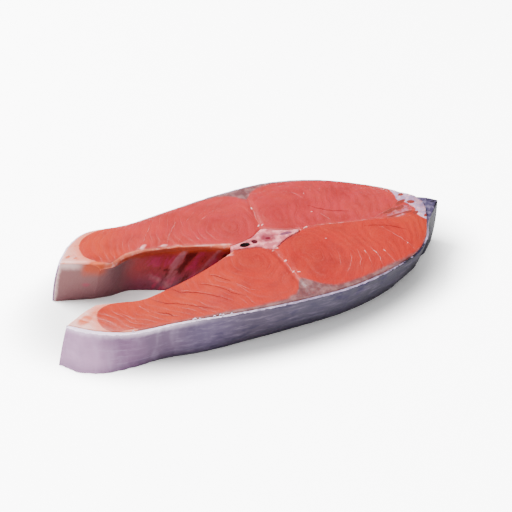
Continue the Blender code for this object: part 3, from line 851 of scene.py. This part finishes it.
def skin_shred(x, length, hang):
    """A shred of skin that stands up from the near edge and curls out over the cut."""
    outer, inner, _ = skin_lines()
    near = outer[:SIDE_CELLS]
    k = int(np.argmin(np.abs(near[:, 0] - x)))
    foot = (near[k, :2] + inner[k, :2]) / 2
    into = unit(inner[k:k + 1, :2] - near[k:k + 1, :2])[0]
    along = np.array([-into[1], into[0]])
    path = []
    for t in np.linspace(0, 1, 7):
        plan = foot + along * length * (t - 0.3) + into * hang * math.sin(math.pi * t * 0.8)
        path.append([*plan, RIM_HEIGHT + 0.2 + 0.7 * math.sin(math.pi * t)])
    frames = [(np.array([*into, 0.0]), UP)] * len(path)
    return strand(np.array(path), frames, SHRED_WIDTH, SHRED_WIDTH / 2)


class Nodes:
    """Short ways to add shader nodes to one material, painted from its first colour on."""

    def __init__(self, name, colour):
        self.material = bpy.data.materials.new(name)
        self.material.use_nodes = True
        self.tree = self.material.node_tree
        self.shader = self.tree.nodes["Principled BSDF"]
        self.colour = colour

    def put(self, socket, value):
        """Link a socket into another, or set its value."""
        if isinstance(value, bpy.types.NodeSocket):
            self.tree.links.new(value, socket)
        elif isinstance(value, tuple) and len(value) == 3 and socket.type == "RGBA":
            socket.default_value = (*value, 1.0)
        else:
            socket.default_value = value

    def add(self, kind, values=None, **settings):
        """A node with its settings and inputs."""
        node = self.tree.nodes.new(kind)
        for key, value in settings.items():
            setattr(node, key, value)
        for key, value in (values or {}).items():
            self.put(node.inputs[key], value)
        return node

    def mark(self, name):
        """A named value of the points."""
        return self.add("ShaderNodeAttribute", attribute_name=name).outputs["Fac"]

    def place(self, stretch=(1.0, 1.0, 1.0), turn=(0.0, 0.0, 0.0)):
        """The place on the piece, for a texture that is stretched along turned axes."""
        place = self.add("ShaderNodeTexCoord").outputs["Object"]
        values = {"Vector": place, "Scale": stretch, "Rotation": turn}
        return self.add("ShaderNodeMapping", values, vector_type="TEXTURE").outputs["Vector"]

    def noise(self, size, place=None, detail=3.0, rough=0.55):
        """A cloudy value, with clouds of about the given size in millimetres."""
        values = {"Vector": place or self.place(), "Scale": 1 / (size * MM)}
        values |= {"Detail": detail, "Roughness": rough}
        return self.add("ShaderNodeTexNoise", values).outputs["Fac"]

    def uneven(self, size, depth, **looks):
        """A cloudy value round zero, the depth apart from its least to its most."""
        return self.times(self.sum(self.noise(size, **looks), -0.5), depth)

    def sum(self, first, *others, kind="ADD"):
        """The values combined, one after another."""
        for other in others:
            node = self.add("ShaderNodeMath", operation=kind)
            self.put(node.inputs[0], first)
            self.put(node.inputs[1], other)
            first = node.outputs[0]
        return first

    def times(self, *values):
        """The values multiplied."""
        return self.sum(*values, kind="MULTIPLY")

    def step(self, low, high, value, most=1.0):
        """A smooth step from 0 at low to the most at high."""
        values = {"Value": value, "From Min": low, "From Max": high, "To Max": most}
        return self.add("ShaderNodeMapRange", values, interpolation_type="SMOOTHSTEP").outputs[0]

    def mix(self, share, first, second):
        """A blend of two colours."""
        node = self.add("ShaderNodeMix", data_type="RGBA")
        self.put(node.inputs[0], share)
        self.put(node.inputs[6], first)
        self.put(node.inputs[7], second)
        return node.outputs[2]

    def paint(self, share, colour):
        """Lay a colour over the material's own by a share."""
        self.colour = self.mix(share, self.colour, colour)

    def axis(self, letter):
        """One coordinate of the place on the piece, in millimetres."""
        place = self.add("ShaderNodeTexCoord").outputs["Object"]
        parts = self.add("ShaderNodeSeparateXYZ", {"Vector": place})
        return self.times(parts.outputs[letter], 1 / MM)

    def bump(self, height, depth):
        """Fine relief: a height from 0 to 1 that stands for the given depth in millimetres."""
        values = {"Height": height, "Distance": depth * MM, "Strength": 1.0}
        self.put(self.shader.inputs["Normal"], self.add("ShaderNodeBump", values).outputs["Normal"])

    def finish(self, rough, settings):
        """Set the colour and the roughness, and give the material."""
        self.put(self.shader.inputs["Base Color"], self.colour)
        self.put(self.shader.inputs["Roughness"], rough)
        for key, value in settings.items():
            self.shader.inputs[key].default_value = value
        return self.material


# Colours of the flesh.
NEAR_FLESH = (0.3, 0.0135, 0.0095)
FAR_FLESH = (0.3, 0.0185, 0.0235)
ORANGE_FLESH = (0.32, 0.0255, 0.009)
PINK_FLESH = (0.31, 0.03, 0.027)
DEEP_FLESH = (0.17, 0.0085, 0.0075)
FLAKE_LINE = (0.38, 0.055, 0.046)
FAT = (0.58, 0.28, 0.24)
WARM_FAT = (0.52, 0.11, 0.055)
FAT_SPOT = (0.44, 0.06, 0.01)
RIM_LINE = (0.5, 0.115, 0.06)
WHITE_FAT = (0.66, 0.33, 0.33)
RIDGE_FAT_SHADE = (0.32, 0.21, 0.34)
RIDGE_FAT_DARK = (0.155, 0.085, 0.155)
DARK_MUSCLE = (0.08, 0.035, 0.039)
PALE_DARK_MUSCLE = (0.16, 0.083, 0.084)
FIN_MUSCLE = (0.165, 0.02, 0.0155)
# Where along X the fat turns into that of the ridge, and where that darkens to the ridge's end.
RIDGE_FAT_FROM = (60, 64)
RIDGE_END_DARKENS = (85, 91)
WET = {
    "Subsurface Weight": 0.25,
    "Subsurface Scale": 0.004,
    "Subsurface Radius": (1, 0.35, 0.2),
    "Specular IOR Level": 0.25,
    "Coat Weight": 0.12,
    "Coat Roughness": 0.16,
}

# Colours of the cavity wall and of the slit faces.
LINING_RIM = (0.21, 0.022, 0.009)
LINING = (0.195, 0.0165, 0.019)
LINING_LOW = (0.12, 0.0225, 0.042)
LINING_STREAK = (0.24, 0.0165, 0.047)
# A dark colour for stains, also used as painted shadow beside the ribs.
LINING_DARK = (0.07, 0.0034, 0.0036)
RIB = (0.23, 0.085, 0.098)
# Painted shade: the slit face darker towards the bottom and towards the cavity.
SLIT_LOW_SHADE = (0.11, 0.042, 0.048)
SLIT_FACE = (0.15, 0.06, 0.06)
SLIT_TOP = (0.42, 0.27, 0.26)
SLIT_SPOT = (0.29, 0.033, 0.008)
# Painted shade where each slit face turns into the cavity wall.
SLIT_TURN_SHADE = (0.086, 0.03, 0.036)
DULL_WET = {"Specular IOR Level": 0.1, "Coat Weight": 0.05, "Coat Roughness": 0.2}
# The way the ribs and streaks of the lining slope.
STREAK_TURN = (0, -0.93, 0)


def flesh_material():
    """Wet raw flesh: muscle in flakes, dark muscle under the skin, and fat."""
    n = Nodes("raw_flesh", NEAR_FLESH)
    grain = n.noise(1.1, detail=4, rough=0.7)
    ragged = n.uneven(3, 1.6)
    clouds = n.noise(14, detail=2)
    patchy = n.step(0.44, 0.72, n.noise(9))
    phase = n.sum(n.mark("phase"), n.times(n.noise(6), 0.4))
    near_edge = n.sum(phase, 0.5, kind="PINGPONG")

    def torn(mark, depth):
        """A named value of the points with a ragged edge."""
        return n.sum(n.mark(mark), n.times(ragged, depth))

    n.paint(n.mark("far_side"), FAR_FLESH)
    n.paint(n.sum(n.mark("orange"), n.times(n.sum(clouds, -0.5), 1.2)), ORANGE_FLESH)
    n.paint(n.step(0.48, 0.8, n.noise(22), 0.5), PINK_FLESH)
    n.paint(n.step(0.42, 0.75, n.noise(11), 0.5), DEEP_FLESH)
    n.paint(n.step(3.4, 0.4, n.mark("phase"), 0.35), DEEP_FLESH)
    # Painted shade: the flesh darker in a band beside each flake edge, as if each flake lay over the
    # next.
    n.paint(n.times(n.step(0.5, 0.1, near_edge), n.sum(patchy, 0.3), 0.25), DEEP_FLESH)
    n.paint(n.times(n.step(0.1, 0, near_edge), patchy, 0.24), FLAKE_LINE)
    n.paint(n.step(0.45, 0.75, grain, 0.25), PINK_FLESH)
    n.paint(n.step(1.2, 0.1, n.mark("seam"), 0.2), FLAKE_LINE)
    dark_muscle = n.mix(n.step(0.4, 0.65, n.noise(4)), DARK_MUSCLE, PALE_DARK_MUSCLE)
    n.paint(n.step(-0.9, 1.5, torn("dark", 1), 0.9), dark_muscle)
    spots = n.step(0.56, 0.72, n.noise(5, detail=2), 0.5)
    smudged = n.step(0.1, 0.95, torn("smudge", 0.12), 0.9)
    fat = n.mix(n.times(torn("warm", 0.3), 0.8), FAT, WARM_FAT)
    fat = n.mix(n.sum(spots, smudged, kind="MAXIMUM"), fat, FAT_SPOT)
    ridge_fat = n.mix(n.step(0.32, 0.54, n.noise(2.6, detail=4)), WHITE_FAT, RIDGE_FAT_SHADE)
    ridge_fat = n.mix(n.step(0.44, 0.68, n.noise(4), 0.55), ridge_fat, RIDGE_FAT_DARK)
    end = n.sum(n.axis("X"), -MIDDLE_X, n.times(ragged, 3))
    ridge_fat = n.mix(n.step(*RIDGE_END_DARKENS, end, 0.7), ridge_fat, RIDGE_FAT_DARK)
    fat = n.mix(n.step(*RIDGE_FAT_FROM, n.axis("X")), fat, ridge_fat)
    n.paint(n.step(0.25, 0.75, torn("fat", 0.4)), fat)
    n.paint(n.step(0.25, 0.75, torn("fin", 0.35)), FIN_MUSCLE)
    band = n.mix(n.step(0.5, 0.75, n.noise(3.5)), RIM_LINE, WHITE_FAT)
    n.paint(n.step(0.2, 0.9, torn("band", 0.5), 0.85), band)
    n.paint(n.step(0.2, 1.1, torn("white", 0.5), 0.52), WHITE_FAT)
    n.paint(n.step(0.2, 0.8, torn("rim", 0.3)), LINING_RIM)
    lines = n.times(n.step(0, 0.15, near_edge), n.sum(patchy, 0.15), 0.28)
    n.bump(n.sum(n.times(grain, 0.6), lines), 0.2)
    return n.finish(n.sum(n.times(clouds, 0.25), 0.22), WET)


def lining_material():
    """The walls: the lining of the cavity with its ribs, and the cut face of each slit."""
    n = Nodes("cavity_lining", LINING_LOW)
    ragged = n.uneven(3, 1.6)
    height = n.sum(n.axis("Z"), n.times(ragged, 1.5))
    past_slit = n.sum(n.mark("past_slit"), n.times(ragged, 1.5))
    slanted = n.noise(3.4, n.place((3.2, 1, 1), STREAK_TURN), detail=4)
    streaks = n.times(n.sum(slanted, -0.5), n.step(16, 34, past_slit), 6)
    n.paint(n.step(2, 16, height), LINING)
    stain_and_shade = n.sum(n.mark("stain_and_shade"), streaks)
    n.paint(n.step(0.1, 1.1, stain_and_shade), LINING_STREAK)
    # Dark stains, and painted shadow beside the ribs.
    n.paint(n.step(-0.1, -1.1, stain_and_shade), LINING_DARK)
    n.paint(n.times(n.step(20.5, 22.5, height), n.step(14, 22, past_slit)), LINING_RIM)
    rib = n.sum(n.times(n.mark("rib"), 0.9), n.times(ragged, 0.5), n.times(streaks, 0.45))
    n.paint(n.step(0.3, 1.5, rib, 0.8), RIB)
    # Painted shade on the first stretch of wall past each slit face.
    n.paint(n.step(24, 10, past_slit), SLIT_TURN_SHADE)
    # Painted shade: the slit face darker low down and near the cavity, lighter up and towards the skin.
    slit = n.mix(n.step(2, 20, n.sum(height, n.times(past_slit, -0.35))), SLIT_LOW_SHADE, SLIT_FACE)
    slit = n.mix(n.step(0.1, 0.9, n.mark("stain_and_shade"), 0.7), slit, LINING_STREAK)
    slit = n.mix(n.times(n.step(19.5, 24, height), n.step(-5, -15, past_slit)), slit, SLIT_TOP)
    slit = n.mix(n.step(-19, -21, past_slit), slit, SLIT_TOP)
    spot = n.times(n.step(-11, -6, past_slit), n.step(6.5, 1.5, past_slit))
    slit = n.mix(n.times(n.step(15, 22.5, height), spot), slit, SLIT_SPOT)
    n.paint(n.step(9, -1, past_slit), slit)
    n.bump(slanted, 0.35)
    return n.finish(n.sum(n.times(slanted, 0.3), 0.25), DULL_WET)


# Colours of the skin, from the flap to the ridge.
SKIN_STOPS = (
    (-98, (0.235, 0.136, 0.22)), (-80, (0.082, 0.044, 0.081)), (-62, (0.056, 0.036, 0.06)),
    (-40, (0.047, 0.035, 0.061)), (-14, (0.034, 0.027, 0.04)), (16, (0.03, 0.026, 0.038)),
    (55, (0.022, 0.02, 0.027)), (86, (0.006, 0.0055, 0.008)), (103, (0.005, 0.0045, 0.0065)),
)
# A pale colour, used for painted light on the folds and for streaks that are partly a painted sheen.
SKIN_LIGHT = (0.4, 0.31, 0.44)
SKIN_DARK = (0.014, 0.011, 0.027)
# The pale cut edge of the skin, also painted below the edge of the flap as a highlight.
SKIN_EDGE = (0.64, 0.52, 0.66)
THIN_SKIN_EDGE = (0.3, 0.23, 0.35)
RIDGE_TOP = (0.047, 0.037, 0.075)
RIDGE_SHEEN = (0.16, 0.125, 0.21)
DULL_SKIN = {"Specular IOR Level": 0.02, "Coat Weight": 0.0}
# Where along X the looks of the flap, the blotches, the ridge, the thin edge and the gaps in it
# come in, from none of them to all.
FLAP_FROM = (-25, -65)
BLOTCHES_FROM = (-20, 20)
RIDGE_SKIN_FROM = (90, 97)
THIN_EDGE_FROM = (-50, 10)
GAPS_FROM = (-60, -10)
# The heights over which the blotches, the sheen below the edge and the shade at the foot come in.
BLOTCHES_UP = (15, 22.5)
EDGE_SHEEN_UP = (20.5, 25.5)
FOOT_SHADE_DOWN = (9, 0)


def skin_material():
    """Thin wet fish skin: silvery lavender at the belly, dark blue grey at the back."""
    n = Nodes("fish_skin", SKIN_STOPS[0][1])
    along, height = n.axis("X"), n.axis("Z")
    ragged = n.uneven(2.2, 1.8)
    flap = n.step(*FLAP_FROM, along)
    for (start, _), (end, shade) in zip(SKIN_STOPS, SKIN_STOPS[1:]):
        n.paint(n.step(start, end, along), shade)
    folds = n.noise(6.5, n.place((1, 1, 4)), detail=2)
    # Painted light on the crests of the folds in the flap, and painted shade in the folds everywhere.
    n.paint(n.times(n.step(0.48, 0.72, folds), flap, 0.08), SKIN_LIGHT)
    n.paint(n.step(0.52, 0.32, folds, 0.1), SKIN_DARK)
    brushed = n.noise(2, n.place((5, 5, 1)), detail=5, rough=0.7)
    # Pale streaks along the skin, partly its own and partly a painted silvery sheen.
    n.paint(n.step(0.46, 0.76, brushed, 0.1), SKIN_LIGHT)
    mottled = n.noise(4, n.place((1.6, 1.6, 1)), detail=4)
    scaly = n.times(n.sum(1, n.times(flap, -0.85)), 0.45)
    n.paint(n.times(n.step(0.5, 0.68, mottled), scaly), SKIN_DARK)
    blotch = n.step(0.5, 0.6, n.noise(5, n.place((1.8, 1.8, 1))))
    blotch = n.times(blotch, n.step(*BLOTCHES_FROM, along), n.step(*BLOTCHES_UP, height), 0.85)
    n.paint(blotch, SKIN_DARK)
    n.paint(n.step(*FOOT_SHADE_DOWN, height, 0.28), SKIN_DARK)
    # Painted highlight: the flap skin paler for a band below its upper edge.
    n.paint(n.times(n.step(*EDGE_SHEEN_UP, n.sum(height, ragged)), flap, 0.5), SKIN_EDGE)
    ridge = n.step(*RIDGE_SKIN_FROM, n.sum(along, n.times(ragged, 3)))
    pale = n.mix(n.step(*THIN_EDGE_FROM, along), SKIN_EDGE, THIN_SKIN_EDGE)
    top = n.mix(ridge, pale, n.mix(n.step(0.45, 0.6, n.noise(3)), RIDGE_TOP, RIDGE_SHEEN))
    gaps = n.times(n.step(0.38, 0.58, n.noise(3)), n.step(*GAPS_FROM, along), 0.38)
    top = n.mix(gaps, top, SKIN_DARK)
    n.paint(n.step(-0.1, 0.4, n.sum(n.mark("white_edge"), ragged)), top)
    n.bump(n.sum(n.times(brushed, 0.4), n.times(folds, flap, 1.2)), 0.3)
    return n.finish(n.sum(n.times(brushed, 0.25), 0.42), DULL_SKIN)


# Colours of the backbone.
GRISTLE = (0.6, 0.19, 0.21)
GRISTLE_ROSE = (0.34, 0.075, 0.095)
GRISTLE_PINK = (0.145, 0.014, 0.027)
# The dark colour of each opening and how much of it that colour fills.
OPENINGS = {
    "vessel": ((0.0025, 0.0006, 0.0007), 0.95), "blood": ((0.05, 0.005, 0.009), 0.95),
    "chord": ((0.1, 0.008, 0.018), 0.6), "canal": ((0.14, 0.04, 0.07), 0.9),
}
OPENING_BLUR = 0.12
MOIST = {**WET, "Specular IOR Level": 0.05, "Coat Weight": 0.03}


def backbone_material():
    """Cut gristle, pink in the middle and whiter at the edges, with dark vessels."""
    n = Nodes("cut_backbone", GRISTLE)
    cloud = n.noise(3.2, detail=4)
    n.paint(n.step(0.36, 0.58, cloud), GRISTLE_ROSE)
    n.paint(n.step(2.7, 1.1, n.mark("chord"), 0.82), GRISTLE_PINK)
    for name, (shade, fill) in OPENINGS.items():
        reach = n.sum(n.mark(name), n.uneven(1.5, 0.4))
        n.paint(n.step(fill + OPENING_BLUR, fill - OPENING_BLUR, reach), shade)
    n.bump(cloud, 0.3)
    return n.finish(n.sum(n.times(cloud, 0.3), 0.25), MOIST)


# The small bits on the cut: two colours, the size and detail of the clouds that mix them, where
# between the clouds one turns into the other, the depth of the bump, how rough the bits are at
# least, how much rougher the clouds make them, and how wet they are.
BIT_LOOKS = {
    # Pale membrane: partly its own colour and partly painted glints.
    "membrane": (
        (0.68, 0.34, 0.35), (0.48, 0.13, 0.12),
        1.6, 4, 0.4, 0.65, 0.15, 0.2, 0.2, MOIST,
    ),
    "flake_edge": (
        (0.36, 0.048, 0.04), (0.47, 0.125, 0.12),
        3, 3, 0.45, 0.65, 0, 0.3, 0.2, MOIST,
    ),
    # Painted shadow: dark beads along the gaps between flakes.
    "flake_gap_shadow": (
        (0.115, 0.005, 0.004), DEEP_FLESH,
        3, 3, 0.4, 0.6, 0, 0.5, 0, MOIST,
    ),
    "torn_skin": (
        (0.74, 0.6, 0.74), (0.42, 0.28, 0.42),
        1.2, 3, 0.4, 0.7, 0.15, 0.2, 0.2, WET,
    ),
}


def bit_material(name):
    """Small wet bits: membranes (partly painted glints), edges of flakes, painted shadow in the gaps
    beside them, and torn skin.
    """
    first, second, size, detail, low, high, depth, rough, rougher, wetness = BIT_LOOKS[name]
    n = Nodes(name, first)
    cloud = n.noise(size, detail=detail)
    n.paint(n.step(low, high, cloud), second)
    if depth:
        n.bump(cloud, depth)
    if rougher:
        rough = n.sum(n.times(cloud, rougher), rough)
    return n.finish(rough, wetness)


# The floor's half size and level in millimetres, its colour, how bright it glows, the half sizes of
# the dim area round the steak, and how many times further out the glow is full.
FLOOR_HALF_SIZE = 4000
FLOOR_LEVEL = -0.05
FLOOR = (0.92, 0.92, 0.92)
GLOW = 6
DIM_HALF_LENGTH = 99
DIM_HALF_WIDTH = 50
GLOW_FULL = 1.42
# The lights: name, place in millimetres, size in metres and power; and the glow of the surround.
LIGHTS = (
    ("key", (-500, 450, 900), 0.6, 47),
    ("overhead", (0, -100, 1200), 1.2, 16),
    ("fill", (300, -900, 600), 1, 5),
)
SURROUND_GLOW = 0.22


def floor_material():
    """Plain white floor with a painted glow that rises away from the steak, so a dim patch round it sets
    how far its shadows reach.
    """
    n = Nodes("pale_floor", FLOOR)
    across = n.times(n.axis("X"), 1 / DIM_HALF_LENGTH)
    away = n.times(n.axis("Y"), 1 / DIM_HALF_WIDTH)
    reach = n.sum(n.times(across, across), n.times(away, away))
    # Painted light: the floor glows further out, though it is no lamp.
    n.put(n.shader.inputs["Emission Strength"], n.times(n.step(1, GLOW_FULL**2, reach), GLOW))
    plain = {"Specular IOR Level": 0.1, "Emission Color": (1, 1, 1, 1)}
    return n.finish(0.7, plain)


def make_floor():
    """A wide plain floor."""
    signs = ((-1, -1), (1, -1), (1, 1), (-1, 1))
    corners = [(i * FLOOR_HALF_SIZE, j * FLOOR_HALF_SIZE, FLOOR_LEVEL) for i, j in signs]
    floor = add_mesh("floor", [floor_material()], corners, [(0, 1, 2, 3)])


def put_in_scene(name, data, at, target):
    """An object at a place in millimetres, turned to look at another."""
    obj = bpy.data.objects.new(name, data)
    obj.location = (np.asarray(at) + MIDDLE) * MM
    way = Vector((np.asarray(target) + MIDDLE) * MM) - obj.location
    obj.rotation_euler = way.to_track_quat("-Z", "Y").to_euler()
    bpy.context.scene.collection.objects.link(obj)
    return obj


def make_studio():
    """Floor, soft light from the upper left and behind, and the camera."""
    make_floor()
    for name, at, size, power in LIGHTS:
        light = bpy.data.lights.new(name, "AREA")
        light.size = size
        light.energy = power
        put_in_scene(name, light, at, (0, 0, 0))
    world = bpy.data.worlds.new("studio")
    world.use_nodes = True
    background = world.node_tree.nodes["Background"]
    background.inputs["Color"].default_value = (1, 1, 1, 1)
    background.inputs["Strength"].default_value = SURROUND_GLOW
    bpy.context.scene.world = world
    camera = bpy.data.cameras.new("camera")
    camera.angle = math.radians(CAMERA_ANGLE)
    bpy.context.scene.camera = put_in_scene("camera", camera, CAMERA_AT, CAMERA_AIM)


def make_steak():
    """All pieces of the steak."""
    points, faces, marks, of_wall = make_flesh()
    materials = [flesh_material(), lining_material()]
    flesh = add_mesh("flesh_cut", materials, points, faces, marks, "flesh")
    flesh.data.polygons.foreach_set("material_index", of_wall)
    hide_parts("flesh")
    skin = add_mesh("skin_strip", [skin_material()], *make_skin(), "skin")
    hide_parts("skin")
    backbone = add_mesh("backbone_cut", [backbone_material()], *make_backbone(), "backbone")
    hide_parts("backbone")

    surface_height = height_finder(points, faces)
    # White bits of membrane, which also stand as painted glints.
    bits = join([white_bit_and_glint(*bit, surface_height) for bit in WHITE_BITS_AND_GLINTS])
    add_mesh("membranes", [bit_material("membrane")], *bits, slot="backbone")
    edges = [strand_on_cut(line, width, SEPTUM_HEIGHT, surface_height) for line, width in SEPTA]
    edges += [strand_on_cut(line, *FLAKE_EDGE_SIZE, surface_height) for line in FLAKE_LINES]
    add_mesh("flake_edges", [bit_material("flake_edge")], *join(edges), slot="flesh")
    # Dark beads of painted shadow in the gaps between flakes.
    gaps = join([strand_on_cut(line, *FLAKE_GAP_SHADOW_SIZE, surface_height) for line in FLAKE_GAP_SHADOWS])
    add_mesh("flake_gap_shadows", [bit_material("flake_gap_shadow")], *gaps, slot="flesh")
    shreds = join([skin_shred(*shred) for shred in SKIN_SHREDS])
    add_mesh("skin_shreds", [bit_material("torn_skin")], *shreds, slot="skin")


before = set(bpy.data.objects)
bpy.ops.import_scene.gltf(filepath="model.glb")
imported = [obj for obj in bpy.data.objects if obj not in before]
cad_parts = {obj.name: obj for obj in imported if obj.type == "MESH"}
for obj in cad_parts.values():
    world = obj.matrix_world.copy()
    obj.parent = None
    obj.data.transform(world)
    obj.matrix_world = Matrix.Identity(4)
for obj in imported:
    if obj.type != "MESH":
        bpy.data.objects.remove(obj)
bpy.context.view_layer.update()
make_steak()
make_studio()
